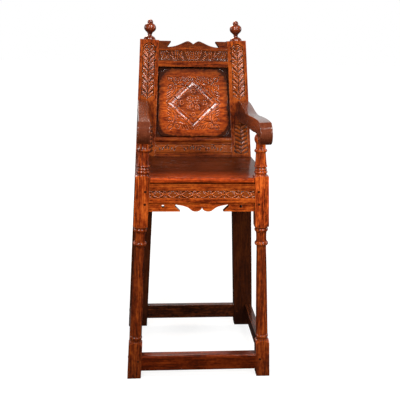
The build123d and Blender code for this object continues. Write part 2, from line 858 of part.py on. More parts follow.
# Seat board, notched round all four posts
notch_front = front_post_size + seat_gap
notch_back = seat_post_depth - seat_gap
rear_notch = rear_post_width + seat_gap
tongue_end = seat_post_depth + seat_tongue
rebate_depth = rear_face(seat_top) + back_rail_setback * cos(rake) - seat_gap
seat_corners = (
    (notch_front, seat_front_depth),
    (notch_front, notch_front),
    (0, notch_front),
    (0, notch_back),
    (rear_notch, notch_back),
    (rear_notch, tongue_end),
)

with BuildPart() as seat_board:
    with BuildSketch(Plane.XY.offset(seat_bottom)):
        with BuildLine():
            corners = [
                (half_width(inset, depth, seat_top), front_face + depth)
                for inset, depth in seat_corners
            ]
            left_edge = [(-x, y) for x, y in reversed(corners)]
            Polyline(*corners, *left_edge, close=True)
        make_face()
    extrude(amount=seat_thickness)
    front_edges = seat_board.edges().filter_by(Axis.X).group_by(Axis.Y)[0]
    fillet(front_edges, seat_nose)
    with BuildSketch(Plane.XY.offset(seat_top)):
        with Locations((0, front_face + rebate_depth)):
            Rectangle(wide, seat_tongue * 2, align=(Align.CENTER, Align.MIN))
    extrude(amount=-seat_rebate, mode=Mode.SUBTRACT)
    add(both_sides(seat_pegs(peg_gap)), mode=Mode.SUBTRACT)

# Lower back rail: a sunk carved band below a half-round bead
bead_bottom = lower_rail_top - lower_bead_height

with BuildPart() as lower_back_rail:
    with BuildSketch(section_plane(back_rail_plane)):
        with BuildLine():
            bead_top = (-lower_bead_fall, lower_rail_top)
            bead_middle = (lower_bead_swell, bead_bottom + lower_bead_height / 2)
            ThreePointArc((0, bead_bottom), bead_middle, bead_top)
            Polyline(
                bead_top,
                (-back_rail_thickness, lower_rail_top),
                (-back_rail_thickness, underground),
                (0, underground),
                (0, lower_band_bottom),
                (-band_sink, lower_band_bottom + band_sink),
                (-band_sink, lower_band_top - band_sink),
                (0, lower_band_top),
                (0, bead_bottom),
            )
        make_face()
    extrude(amount=wide, both=True)
    split(bisect_by=Plane.XY.offset(seat_top - seat_rebate + lower_rail_lift), keep=Keep.TOP)
    for side in (left_side, right_side):
        split(bisect_by=side.offset(rear_post_width), keep=Keep.TOP)
    add(cross_tenons(*lower_rail_tenons))
    add(panel_groove, mode=Mode.SUBTRACT)
    add(both_sides(back_pegs(peg_gap)), mode=Mode.SUBTRACT)

# Top rail: a hollowed band and a bead below a thinner scrolled crest
with BuildPart() as top_rail:
    with BuildSketch(section_plane(back_rail_plane)):
        with BuildLine():
            band_middle = (-band_sink, top_band_bottom + top_band_height / 2)
            ThreePointArc((0, top_band_bottom), band_middle, (0, top_band_top))
            bead_middle = (top_bead_swell, top_band_top + top_bead_height / 2)
            crest_foot = (-crest_setback, top_bead_top)
            ThreePointArc((0, top_band_top), bead_middle, crest_foot)
            Polyline(
                crest_foot,
                (-crest_setback, crest_top),
                (-crest_setback - crest_thickness, crest_top),
                (-back_rail_thickness, top_bead_top),
                (-back_rail_thickness, top_rail_bottom),
                (0, top_rail_bottom),
                (0, top_band_bottom),
            )
        make_face()
    extrude(amount=wide, both=True)
    for side in (left_side, right_side):
        split(bisect_by=side.offset(rear_post_width), keep=Keep.TOP)
    add(cross_tenons(*top_rail_tenons))
    add(scroll_waste(back_plane, crest_top, -1, crest_scroll), mode=Mode.SUBTRACT)
    add(panel_groove, mode=Mode.SUBTRACT)
    add(both_sides(back_pegs(peg_gap)), mode=Mode.SUBTRACT)

# Back panel: a raised field cut with a hollowed lozenge that frames a rosette and four
# roundels. The panel is loose in its grooves.
lozenge_middle = (lower_rail_top + top_rail_bottom) / 2 + lozenge_rise
lozenge_slope = lozenge_half_height / lozenge_half_width
hollow_outside = lozenge_half_width - lozenge_fillet
hollow_inside = hollow_outside - lozenge_hollow
field_plane = back_rail_plane.offset(-panel_recess)


def lozenge(half_wide, mode=Mode.ADD):
    """Draws one lozenge about the middle of the panel."""
    with Locations((0, lozenge_middle)):
        half_high = half_wide * lozenge_slope
        Polygon((half_wide, 0), (0, half_high), (-half_wide, 0), (0, -half_high), mode=mode)


with BuildPart() as back_panel:
    tongue = bar(
        back_rail_plane.offset(-tongue_face),
        lower_rail_top - panel_tongue,
        top_rail_bottom + panel_tongue,
        panel_edge,
    )
    add(between(tongue, rear_post_width, panel_tongue))
    field = bar(
        field_plane,
        lower_rail_top + panel_margin,
        top_rail_bottom - panel_margin,
        panel_thickness,
    )
    add(between(field, rear_post_width + panel_margin))
    front = back_panel.faces().filter_by(Axis(bend, back_plane.z_dir)).sort_by(Axis.Y)[0]
    chamfer(front.edges(), panel_bevel)
    with BuildSketch(field_plane):
        lozenge(hollow_outside)
        lozenge(hollow_inside, mode=Mode.SUBTRACT)
        lozenge(hollow_inside - lozenge_inner_fillet)
        with Locations((0, lozenge_middle)):
            Circle(rosette_radius, mode=Mode.SUBTRACT)
            with PolarLocations(roundel_offset, 4):
                Circle(roundel_radius, mode=Mode.SUBTRACT)
    extrude(amount=-lozenge_sink, mode=Mode.SUBTRACT)

def along_arm(share, rise):
    """A point of the arm's outline, at a share of the way back to the rear post."""
    return (share * rear_face(arm_back_top), bulb_top + rise)


# Arms, each sawn from one board in the plane of the side frame
with BuildPart() as arm:
    with BuildSketch(left_side) as arm_outline:
        with BuildLine():
            back_low = arm_back_top - arm_height_at_back
            back_corner = (rear_face(back_low), back_low)
            top_corner = (rear_face(arm_back_top), arm_back_top)
            crease = (-arm_roll_reach - arm_crease_reach, bulb_top + arm_crease_rise)
            facet = radians(arm_facet_angle)
            nose_top = (
                arm_roll_radius * cos(facet) - arm_roll_reach,
                arm_roll_radius * sin(facet) + arm_roll_height,
            )
            under_reach = sqrt(arm_roll_radius**2 - arm_roll_rise**2)
            nose_under = (under_reach - arm_roll_reach, bulb_top)
            seat_end = (front_post_size + foot_wear, bulb_top)
            Spline(
                top_corner,
                along_arm(0.81, arm_flank_rise),
                along_arm(0.64, arm_slope_rise),
                along_arm(0.45, arm_dip_rise),
                along_arm(0.28, (arm_dip_rise + arm_shoulder_rise) / 2),
                (front_post_size, bulb_top + arm_shoulder_rise),
                (-post_axis, bulb_top + arm_shoulder_rise),
                crease,
            )
            Line(crease, nose_top)
            ThreePointArc(
                nose_top,
                (-arm_roll_reach, arm_roll_height - arm_roll_radius),
                nose_under,
            )
            Line(nose_under, seat_end)
            Spline(
                seat_end,
                along_arm(0.34, -arm_belly_fall),
                along_arm(0.58, -arm_waist_fall),
                along_arm(0.80, -arm_throat_fall),
                back_corner,
            )
            Line(back_corner, top_corner)
        make_face()
        throat = arm_outline.vertices().sort_by_distance((*nose_under, 0))[0]
        fillet(throat, arm_throat_round)
    extrude(amount=arm_width)
    for face in arm.faces().filter_by(Axis((0, 0, 0), left_side.z_dir)):
        fillet(face.edges().sort_by(Axis.Y)[:-1], arm_edge_round)
    add(arm_tenon())
    dowel_plane = Plane(post_foot, x_dir=left_side.x_dir, z_dir=left_side.y_dir)
    hole_end = bulb_top + arm_dowel_length + mortise_end_gap
    hole = pin(dowel_plane, (0, 0), arm_dowel_radius + fit_gap, bulb_top - 1.0, hole_end)
    add(hole, mode=Mode.SUBTRACT)
    add(arm_pegs(peg_gap), mode=Mode.SUBTRACT)

# Finials, each turned in one piece with its spigot
with BuildPart() as finial:
    with BuildSketch(finial_section):
        with BuildLine():
            rim = (finial_base_radius - 0.4, finial_rim_height)
            shoulder = (12.0, 10.6)
            neck = (finial_neck_radius, finial_neck_height)
            ball = (finial_ball_radius, finial_ball_height)
            knob_centre = finial_height - finial_knob_radius
            knob_side = finial_knob_radius * sin(radians(45))
            knob_low = (8.8, knob_centre - sqrt(finial_knob_radius**2 - 8.8**2))
            Polyline(
                (0, finial_height),
                (0, -spigot_length),
                (spigot_radius, -spigot_length),
                (spigot_radius, 0),
                (finial_base_radius, 0),
                rim,
            )
            ThreePointArc(rim, (17.2, 6.8), shoulder)
            ThreePointArc(shoulder, (8.2, 13.0), neck)
            Spline(neck, (10.0, 22.8), (16.2, 28.4), ball, (16.4, 47.6), knob_low)
            ThreePointArc(knob_low, (knob_side, knob_centre + knob_side), (0, finial_height))
        make_face()
    revolve(axis=Axis(finial_foot, left_side.y_dir))

os.makedirs("parts", exist_ok=True)


def save(name, solid):
    solid.label = name
    export_step(solid, f"parts/{name}.step")


def save_pair(name, solid):
    save(f"{name}_left", solid)
    save(f"{name}_right", mirrored(solid))


save_pair("front_post", front_post.part)
save_pair("rear_post", rear_post.part)
save("front_seat_rail", front_seat_rail.part)
save_pair("side_seat_rail", side_seat_rail.part)
save("rear_seat_rail", rear_seat_rail.part)
save("front_stretcher", front_stretcher.part)
save_pair("side_stretcher", side_stretcher.part)
save("rear_stretcher", rear_stretcher.part)
save("seat_board", seat_board.part)
save_pair("arm", arm.part)
save("lower_back_rail", lower_back_rail.part)
save("top_rail", top_rail.part)
save("back_panel", back_panel.part)
save_pair("finial", finial.part)
for group, pegs in (
    ("front_frame_pegs", front_frame_pegs()),
    ("rear_frame_pegs", rear_frame_pegs()),
    ("back_pegs", back_pegs()),
    ("side_frame_pegs", side_frame_pegs()),
    ("arm_pegs", arm_pegs()),
    ("seat_pegs", seat_pegs()),
):
    save(group, Compound(both_sides(pegs)))
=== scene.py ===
from math import atan, cos, pi, radians, sin

import bpy
import numpy as np
from mathutils import Matrix, Vector


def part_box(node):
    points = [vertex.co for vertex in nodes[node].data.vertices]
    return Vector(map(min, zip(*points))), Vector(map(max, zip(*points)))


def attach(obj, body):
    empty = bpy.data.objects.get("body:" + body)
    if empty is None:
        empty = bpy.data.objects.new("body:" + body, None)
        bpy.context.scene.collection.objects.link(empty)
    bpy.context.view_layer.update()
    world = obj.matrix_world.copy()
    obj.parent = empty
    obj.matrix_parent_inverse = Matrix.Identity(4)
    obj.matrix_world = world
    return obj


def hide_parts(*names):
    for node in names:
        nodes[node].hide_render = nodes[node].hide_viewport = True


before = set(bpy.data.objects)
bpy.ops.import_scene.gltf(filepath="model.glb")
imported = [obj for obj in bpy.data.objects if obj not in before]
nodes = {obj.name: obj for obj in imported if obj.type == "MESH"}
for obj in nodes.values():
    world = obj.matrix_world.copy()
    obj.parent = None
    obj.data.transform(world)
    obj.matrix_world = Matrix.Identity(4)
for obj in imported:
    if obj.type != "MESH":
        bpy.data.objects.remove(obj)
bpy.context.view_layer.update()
scene = bpy.context.scene
MM = 0.001

# ---------------------------------------------------------------------------------------
# The chair's own frames of reference
# ---------------------------------------------------------------------------------------
front_half_width = 213.0  # to a front post's outer face, at the floor
rear_half_width = 218.0  # to a rear post's outer face, at the floor
side_lean = radians(2.5)  # of each side frame, inwards
foot_depth = 378.6  # front posts' face to rear posts' face, at the floor
bend_depth = 364.3  # the same at the seat, where the rear posts bend
back_rake = radians(15.1)  # of the back, above the bend
seat_top = 606.5
front_post_size = 40.0
rear_post_width = 63.4
front_rail_setback = 2.5
back_rail_setback = 2.0
toe = atan((rear_half_width - front_half_width) / foot_depth)
front_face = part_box("front_post_left")[0].y / MM


class Face:
    """A flat face of the chair: u runs along it, v up it and h out of it."""

    def __init__(self, origin, along, up):
        self.origin = Vector(origin)
        self.along = Vector(along).normalized()
        self.up = Vector(up).normalized()
        self.out = self.along.cross(self.up)

    def place(self, u, v, h):
        """Points in metres, one row each."""
        columns = (np.ravel(u), np.ravel(v), np.ravel(np.broadcast_to(h, np.shape(u))))
        axes = np.array([self.along, self.up, self.out])
        return (np.stack(columns, axis=1) @ axes + np.array(self.origin)) * MM


side_back = Vector((-sin(toe), cos(toe), 0))
side_up = Vector((sin(side_lean) * cos(toe), sin(side_lean) * sin(toe), cos(side_lean)))
side_inward = side_back.cross(side_up)
side_origin = Vector((-front_half_width, front_face, 0))
bend_point = side_origin + side_back * bend_depth + side_up * seat_top
slope_up = side_back * sin(back_rake) + side_up * cos(back_rake)

stile_face = Face(bend_point, side_inward, slope_up)  # of the left rear post
back_face = Face(
    (0, front_face + bend_depth, seat_top), (1, 0, 0), (0, sin(back_rake), cos(back_rake))
)
rail_face = Face((0, front_face + front_rail_setback, 0), (1, 0, 0), (0, 0, 1))


def half_width(inset, depth, height):
    """Half the chair's width between the side frames, at an inset from their outer faces."""
    inwards = inset - sin(toe) * cos(side_lean) * depth + sin(side_lean) * height
    return front_half_width - inwards / (cos(toe) * cos(side_lean))


def back_half_width(inset, v):
    """The same at a length v up the slope of the back."""
    depth = bend_depth + v * sin(back_rake)
    return half_width(inset, depth, seat_top + v * cos(back_rake))


# ---------------------------------------------------------------------------------------
# Carving: a shape is 1 at its height or depth and 0 outside it, over points (u, v), and
# a relief is a pair of heights and shares of soot and painted shade over them
# ---------------------------------------------------------------------------------------
def ease(x, low, high):
    """0 below low, 1 above high and smooth between them."""
    t = np.clip((x - low) / (high - low), 0, 1)
    return t * t * (3 - 2 * t)


def crown(x, middle, half):
    """A rounded rise: 1 at the middle, 0 from half away."""
    return np.clip(1 - ((x - middle) / half) ** 2, 0, None)


def vee(x, middle, half):
    """A V-shaped rise: 1 at the middle, 0 from half away."""
    return np.clip(1 - np.abs(x - middle) / half, 0, None)


def sharp(shape):
    """A rounded shape made V-shaped, with flat walls that catch the light."""
    return 1 - np.sqrt(1 - np.clip(shape, 0, 1))


def beside(u, v, start, end):
    """Each point's distance from a straight line, and its share of the way along it."""
    run = np.subtract(end, start)
    share = ((u - start[0]) * run[0] + (v - start[1]) * run[1]) / (run @ run)
    share = np.clip(share, 0, 1)
    return np.hypot(u - start[0] - share * run[0], v - start[1] - share * run[1]), share


def gouge(u, v, start, end, width):
    """A lens-shaped gouge cut from start to end."""
    away, share = beside(u, v, start, end)
    half = width / 2 * (0.35 + 0.65 * np.sin(pi * (0.12 + 0.76 * share)))
    return crown(away, 0, half)


def line_cut(u, v, points, width):
    """A round-bottomed cut of one width along a chain of points."""
    nearest = np.full(np.shape(u), np.inf)
    for start, end in zip(points[:-1], points[1:]):
        nearest = np.minimum(nearest, beside(u, v, start, end)[0])
    return crown(nearest, 0, width / 2)


def curl(centre, radius, start, turns, tightening):
    """Points of a spiral that starts at an angle and tightens as it turns."""
    steps = 26
    points = []
    for i in range(steps + 1):
        t = i / steps
        angle = start + 2 * pi * turns * t
        reach = radius * (1 - tightening * t)
        points.append((centre[0] + reach * cos(angle), centre[1] + reach * sin(angle)))
    return points


def ripple(u, v, size, seed):
    """Hand-tooled unevenness, between about -1 and 1."""
    waves = 9
    rng = np.random.default_rng(seed)
    total = np.zeros(np.shape(u))
    for _ in range(waves):
        angle, phase = rng.uniform(0, 2 * pi, 2)
        pitch = size * rng.uniform(0.6, 1.8)
        total += np.sin(2 * pi * (u * cos(angle) + v * sin(angle)) / pitch + phase)
    return total / (waves / 2)


def blur(h, cells):
    """A box blur, run twice along both axes."""
    for _ in range(2):
        for axis in (0, 1):
            pad = [(cells + 1, cells) if a == axis else (0, 0) for a in (0, 1)]
            total = np.cumsum(np.pad(h, pad, mode="edge"), axis=axis)
            width = 2 * cells + 1
            count = h.shape[axis]
            ahead = np.take(total, range(width, width + count), axis=axis)
            h = (ahead - np.take(total, range(count), axis=axis)) / width
    return h


def level(u, height, soot_and_shade):
    """A flat relief with an even share of soot and painted shade."""
    return np.full(np.shape(u), height), np.full(np.shape(u), soot_and_shade)


def lay(relief, shape, base, height):
    """A shape raised on a base. It comes up clean."""
    h, soot_and_shade = relief
    return np.maximum(h, base + height * shape), soot_and_shade * (1 - ease(shape, 0.0, 0.3))


def cut(relief, shape, depth, dark=0.95):
    """A shape cut into a relief, with soot and painted shade in its depth."""
    h, soot_and_shade = relief
    return h - depth * shape, np.maximum(soot_and_shade, dark * ease(shape, 0.0, 0.55))


def places(low, high, cell):
    """Even steps from low to high, about one cell apart."""
    return np.linspace(low, high, round((high - low) / cell) + 1)


def wear_and_painted_light(front, soot_and_shade, cell):
    """Shares of dirt and painted shade in hollows, and of wear and painted sheen on ridges,
    from how points lie to those near and far around.
    """
    near, far = 2.2, 5.0
    around = blur(front, round(near / cell))
    further = blur(front, round(far / cell))
    in_cut = (around - front) / 0.5
    in_hollow = (further - front - 0.3) / 1.1
    sunk = np.clip(np.maximum(in_cut, in_hollow), 0, 1)
    rubbed_and_sheen = np.clip((front - around) / 0.7, 0, 1)
    return {"dirt_and_shade": np.maximum(0.7 * sunk, soot_and_shade), "rubbed_and_sheen": rubbed_and_sheen}


def slab(name, face, u, v, relief, back, cell, offset=0.0, mirrored=False):
    """A closed board with a relief for its front and a flat back."""
    front, soot_and_shade = relief
    rows, columns = u.shape
    index = np.arange(rows * columns).reshape(rows, columns)
    ring = np.concatenate([index[0, :-1], index[:-1, -1], index[-1, :0:-1], index[:0:-1, 0]])
    top = face.place(u, v, front + offset)
    under = face.place(u.ravel()[ring], v.ravel()[ring], back + offset)
    points = np.concatenate([top, under])
    corners = [index[:-1, :-1], index[:-1, 1:], index[1:, 1:], index[1:, :-1]]
    quads = np.stack(corners, axis=-1).reshape(-1, 4)
    low = rows * columns + np.arange(len(ring))
    walls = np.stack([ring, low, np.roll(low, -1), np.roll(ring, -1)], axis=-1)
    faces = np.concatenate([quads, walls]).tolist() + [low[::-1].tolist()]
    if mirrored:
        points = points * np.array([-1.0, 1.0, 1.0])
        faces = [loop[::-1] for loop in faces]
    mesh = bpy.data.meshes.new(name)
    mesh.from_pydata(points.tolist(), [], faces)
    mesh.polygons.foreach_set("use_smooth", [True] * len(quads) + [False] * (len(ring) + 1))
    for label, share in wear_and_painted_light(front, soot_and_shade, cell).items():
        values = np.zeros(len(points), np.float32)
        values[: rows * columns] = share.ravel()
        mesh.attributes.new(label, "FLOAT", "POINT").data.foreach_set("value", values)
    piece = bpy.data.objects.new(name, mesh)
    scene.collection.objects.link(piece)
    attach(piece, "root")
    return piece


def board(name, face, vs, ends, columns, carve, back, cell, offset=0.0):
    """A slab with one row for each of vs, which reaches to both ends there."""
    share = np.linspace(-1, 1, columns)
    u = share[None, :] * ends[:, None]
    v = np.repeat(vs[:, None], columns, axis=1)
    return slab(name, face, u, v, carve(u, v), back, cell, offset)


# Stiles: paired leaves that climb a central vein, in a reserve with an arched top
reserve_middle = 31.0
reserve_half = 21.0
reserve_floor = -2.35  # just over the floor of the stile's own reserve
buried = -4.0  # under the stile's own surface, outside the arch
upper_bottom = 189.0
upper_top = 379.5
lower_bottom = 9.0
lower_top = 110.0


def climbing(x, v, start, pitch, climb, bend):
    """How far each point lies through a repeat that climbs away from the vein, 0 to 1."""
    return np.mod(v - climb * (1 - np.exp(-np.abs(x) / bend)) - start, pitch) / pitch


def leaf_pairs(x, v, start):
    """Leaves at both sides of the vein, with a dark slot under each pair."""
    side = np.abs(x)
    phase = climbing(x, v, start, 39.0, 28.0, 14.0)
    relief = level(x, -1.4, 0.25)
    for middle, half, base, height in (
        (0.12, 0.07, -1.6, 1.7),  # rib
        (0.30, 0.17, -1.9, 1.7),  # leaf
        (0.56, 0.07, -1.9, 1.8),  # ridge
        (0.79, 0.17, -2.0, 2.1),  # lobe
    ):
        relief = lay(relief, crown(phase, middle, half), base, height)
    for line in (0.475, 0.645):
        relief = cut(relief, crown(phase, line, 0.035), 1.2, 0.85)
    taper = np.sin(pi * np.clip((side - 2.0) / 16.5, 0, 1)) ** 0.6
    from_slot = np.minimum(phase, 1 - phase)
    slot = crown(from_slot, 0, 0.01 + 0.085 * taper) * (taper > 0.1)
    relief = cut(relief, slot, 2.6)
    return cut(relief, crown(side, 0.0, 1.5), 1.9)


def petal_bunch(x, y):
    """Petals that fan out at the top of a stile, round the middle of its arch."""
    relief = level(x, -1.8, 0.5)
    for start, end, width in (
        ((-2, -9), (-13, 3), 8.5),
        ((2, -9), (12.5, -1), 8.0),
        ((-1.2, -2), (-2.5, 13), 6.5),
        ((1.2, -3), (4.0, 12), 4.5),
        ((-4, 2), (-10, 10), 5.0),
    ):
        relief = lay(relief, gouge(x, y, start, end, width), -2.0, 2.0)
    relief = cut(relief, gouge(x, y, (-9.5, 8.5), (-1.8, -1.5), 4.2), 2.4)
    relief = cut(relief, crown(np.hypot(x - 7.8, y - 5.5), 0, 4.8), 2.0, 0.8)
    return cut(relief, crown(np.abs(x), 0.0, 1.2) * (y < 2), 1.8)


def upper_stile(u, v, seed):
    """Leaf pairs under a bunch of petals, with a ridge that follows the arch."""
    x = u - reserve_middle
    spring = upper_top - reserve_half
    y = v - spring
    inside = reserve_half - np.where(y > 0, np.hypot(x, y), np.abs(x))
    tip = ease(y, -7.0, -3.0)
    pair = zip(leaf_pairs(x, v, spring - 38.8), petal_bunch(x, y))
    h, soot_and_shade = (leaves * (1 - tip) + petals * tip for leaves, petals in pair)
    # The ridge, and the dark line outside it
    swell = crown(inside, 4.9, 2.6)
    in_ridge = ease(y, -9.0, -1.0) * (inside < 8.6)
    h = h * (1 - in_ridge) + (-2.2 + 2.3 * swell) * in_ridge
    soot_and_shade = soot_and_shade * (1 - in_ridge) + 0.95 * (1 - ease(swell, 0.0, 0.4)) * in_ridge
    h, soot_and_shade = cut((h, soot_and_shade), crown(inside, 0.9, 1.6), 2.2)
    # The plain wood under a curved line, where the leaves begin
    foot = v - upper_bottom - 3.0 - 14.0 * (1 - np.exp(-np.abs(x) / 9.0))
    h = np.where(foot < 0, -1.9 * vee(foot, 0.0, 2.2), h)
    soot_and_shade = np.where(foot < 0, 0.95 * vee(foot, 0.0, 2.6), soot_and_shade)
    h += 0.12 * ripple(u, v, 9.0, seed)
    return np.where(inside < 0, buried, np.maximum(h, reserve_floor)), soot_and_shade


def lower_stile(u, v, seed):
    """Closer leaves, each one rib with a dark gap under it."""
    x = u - reserve_middle
    side = np.abs(x)
    phase = climbing(x, v, lower_bottom, 13.6, 15.0, 15.0)
    relief = lay(level(x, -2.2, 0.9), crown(phase, 0.38, 0.34), -2.3, 2.2)
    relief = cut(relief, crown(side, 0.0, 1.2), 1.6)
    inside = np.minimum(reserve_half - side, lower_top - v)
    foot = v - lower_bottom - 1.0 - 0.25 * side
    h, soot_and_shade = cut(relief, crown(np.minimum(inside, foot), 0.7, 1.2), 1.8)
    h = np.where(foot < 0, -0.15, h + 0.12 * ripple(u, v, 8.0, seed))
    return np.maximum(h, reserve_floor), np.where(foot < 0, 0.0, soot_and_shade)


def carve_stiles():
    """Two boards for each rear post, as pairs of a board and its post's node."""
    cell = 0.6
    margin = 0.3  # over the edges of the reserve
    left_edge = reserve_middle - reserve_half - margin
    us = places(left_edge, reserve_middle + reserve_half + margin, cell)
    carvings = []
    for hand, seed in (("left", 11), ("right", 12)):
        for part, low, high, carve in (
            ("upper", upper_bottom, upper_top, upper_stile),
            ("lower", lower_bottom, lower_top, lower_stile),
        ):
            name = f"{part}_stile_carving_{hand}"
            u, v = np.meshgrid(us, places(low - margin, high + margin, cell))
            relief = carve(u, v, seed)
            mirrored = hand == "right"
            piece = slab(name, stile_face, u, v, relief, buried - 1.0, cell, 0.0, mirrored)
            carvings.append((piece, f"rear_post_{hand}"))
    return carvings


# Top rail: a hollowed band with a fan in the middle and slanting leaves beside it
top_band_bottom = 317.5
top_band_top = 352.5
top_band_leaves = (  # start, end and width, from the rail's middle and the band's foot
    ((0.2, 5), (0.8, 31), 5.2),
    ((2.5, 7), (8.0, 32), 4.8),
    ((6.0, 6), (14.5, 31), 5.4),
    ((10.5, 5), (21.0, 32), 5.6),
    ((15.0, 4), (28.0, 33), 5.8),
    ((31.0, 3), (45.5, 23), 7.6),
    ((45.0, 12), (38.5, 31), 6.4),
    ((52.6, 4), (52.6, 33), 5.8),
    ((59.4, 4), (59.4, 33), 5.8),
    ((64.0, 4), (78.0, 20), 6.6),
    ((66.5, 15), (73.0, 32), 6.0),
    ((84.5, 11), (85.5, 19), 8.0),
    ((82.0, 26), (90.0, 32), 4.6),
    ((89.0, 7), (97.0, 31), 5.0),
    ((95.5, 6), (103.5, 31), 5.0),
    ((102.0, 6), (110.0, 31), 5.0),
)
top_band_notches = (
    ((38.5, 15), (42.5, 21), 3.2),
    ((70.0, 8), (75.0, 14), 3.0),
    ((85.0, 13), (85.0, 17), 3.0),
    ((12.5, 22), (15.0, 30), 1.8),
)


def top_band(u, v):
    """A fan between dark diagonals, twin tongues at each side and slanting leaves beyond."""
    hollow_depth = 3.0  # of the rail's own hollow
    x = np.abs(u)
    y = v - top_band_bottom
    hollow = 0.2 - hollow_depth * crown(y / (top_band_top - top_band_bottom), 0.5, 0.5)
    relief = (hollow, np.full(np.shape(u), 0.8))
    for start, end, width in top_band_leaves:
        relief = lay(relief, gouge(x, y, start, end, width), hollow - 0.3, 2.9)
    for start, end, width in top_band_notches:
        relief = cut(relief, gouge(x, y, start, end, width), 1.9)
    h, soot_and_shade = relief
    h = h + 0.15 * ripple(u, v, 8.0, 3)
    shadow = 0.75 * (1 - ease(y, 2.0, 9.0)) + 0.35 * ease(y, 27.0, 34.0)
    return np.clip(h, hollow, 0.25), np.maximum(soot_and_shade, shadow)


# Lower back rail: sprigs of short gouge cuts on a sunk band
lower_band_bottom = 10.5
lower_band_top = 42.5
sprigs = (-88.0, -5.0, 66.0)  # the middles of the three groups
sprig_step = 9.4  # between the cuts of a group


def lower_band(u, v):
    """Groups of six fanned cuts, each with a bud over it and a thin arc at both sides."""
    middle = (lower_band_bottom + lower_band_top) / 2
    half = (lower_band_top - lower_band_bottom) / 2
    y = v - middle
    h = -2.3 + 1.9 * np.sqrt(np.clip(1 - (y / half) ** 2, 0, 1))
    # Painted shade: the band is darker along its bottom and, less, along its top.
    relief = (h, 0.8 * (1 - ease(y, -15.0, -9.0)) + 0.5 * ease(y, 11.0, 15.0))
    rng = np.random.default_rng(8)
    for sprig in sprigs:
        x = u - sprig
        for step in (-2.5, -1.5, -0.5, 0.5, 1.5, 2.5):
            lift = 4.5 - 2.2 * abs(step) + rng.uniform(-1.5, 1.5)
            lean = 1.1 * step + rng.uniform(-1.0, 1.0)
            start = (step * sprig_step, lift - 4.5)
            end = (step * sprig_step + lean, lift + 2.5)
            relief = cut(relief, gouge(x, y, start, end, 5.6), 1.9)
        relief = cut(relief, gouge(x, y, (-1.0, 6.0), (1.5, 12.5), 4.4), 1.6)
        for side in (-1, 1):
            arc = [(side * 27.0, 4.0), (side * 31.0, 8.0), (side * 36.0, 9.5)]
            relief = cut(relief, line_cut(x, y, arc, 2.0), 0.9, 0.6)
    h, soot_and_shade = relief
    h = h + 0.2 * ripple(u, v, 9.0, 5)
    edge = np.minimum(v - lower_band_bottom, lower_band_top - v)
    return cut((np.maximum(h, -2.7), soot_and_shade), crown(edge, 2.0, 1.3), 0.7, 0.9)


# Front seat rail: a row of pointed ovals with wedges between them
oval_pitch = 41.5
oval_band_bottom = 548.0
oval_band_top = 570.5


def oval_band(u, v):
    """Pointed ovals with a domed eye, and small wedges above and below between them."""
    ground = -1.35  # just over the rail's own sunk band
    x = np.mod(u + oval_pitch / 2, oval_pitch) - oval_pitch / 2
    side = np.abs(x)
    rise = v - oval_band_bottom
    y = rise - (oval_band_top - oval_band_bottom) / 2
    oval = (side / 17.6) ** 1.05 + (np.abs(y) / 10.4) ** 1.5
    dome = np.sqrt(np.clip(1 - (oval / 0.62) ** 2, 0, 1))
    h, soot_and_shade = level(u, ground, 0.95)
    relief = (np.maximum(h, ground + 1.1 * dome), soot_and_shade - 0.45 * ease(dome, 0.0, 0.5))
    relief = lay(relief, crown(oval, 0.86, 0.24), ground, 1.8)
    between = oval_pitch / 2 - side
    for middle, sense in ((8.2, -1), (-8.2, 1)):
        wedge = between / 5.2 + np.abs(y - middle) / 3.6 + 0.14 * sense * (y - middle)
        relief = lay(relief, crown(wedge, 0, 1), ground, 1.6)
    cross = crown(between - 0.55 * np.abs(y), 0.6, 1.3) * (oval > 1.1)
    h, soot_and_shade = lay(relief, cross, ground, 1.4)
    edge = np.minimum(rise, oval_band_top - v)
    h, soot_and_shade = cut((h + 0.12 * ripple(u, v, 7.0, 7), soot_and_shade), crown(edge, 1.5, 1.2), 0.8)
    return np.maximum(h, ground - 0.05), soot_and_shade


def carve_rails():
    """A board for each of three rails, as pairs of a board and its rail's node."""
    lap = 0.5  # of the boards' ends into the posts
    top_gap, lower_gap, oval_gap = 0.2, 1.0, 0.4  # left free along the bands' edges

    def on_back(name, low, high, columns, carve):
        back, cell = -6.0, 0.6
        vs = places(low, high, cell)
        ends = back_half_width(rear_post_width - lap, vs)
        offset = -back_rail_setback
        return board(name, back_face, vs, ends, columns, carve, back, cell, offset)

    def on_front(name, low, high, columns, carve):
        back, cell = -5.0, 0.55
        vs = places(low, high, cell)
        ends = half_width(front_post_size - lap, front_rail_setback, vs)
        return board(name, rail_face, vs, ends, columns, carve, back, cell)

    low, high = top_band_bottom + top_gap, top_band_top - top_gap
    top = on_back("top_rail_carving", low, high, 470, top_band)
    low, high = lower_band_bottom + lower_gap, lower_band_top - lower_gap
    lower = on_back("lower_rail_carving", low, high, 490, lower_band)
    low, high = oval_band_bottom + oval_gap, oval_band_top - oval_gap
    seat = on_front("seat_rail_carving", low, high, 600, oval_band)
    return [(top, "top_rail"), (lower, "lower_back_rail"), (seat, "front_seat_rail")]


# Back panel: a raised field with a moulded lozenge, a rosette and leafy spandrels
panel_low = 63.7
panel_high = 299.0
panel_recess = 8.0
panel_thickness = 12.0
tongue_drop = 6.4  # from the field back to the face of the tongue
lozenge_shift = 0.5  # of the lozenge to the left of the middle
lozenge_middle = 179.0
lozenge_half_width = 89.5
lozenge_half_height = 85.0
lozenge_slant = np.hypot(lozenge_half_width, lozenge_half_height)
lozenge_depth = lozenge_half_width * lozenge_half_height / lozenge_slant
lozenge_ground = -2.2  # the punched ground inside the lozenge
# How far in from the lozenge's edge its wide hollow, inner line and rosette lie
hollow_middle = 11.0
hollow_half = 7.0
inner_line = 20.4
rosette_edge = 20.8


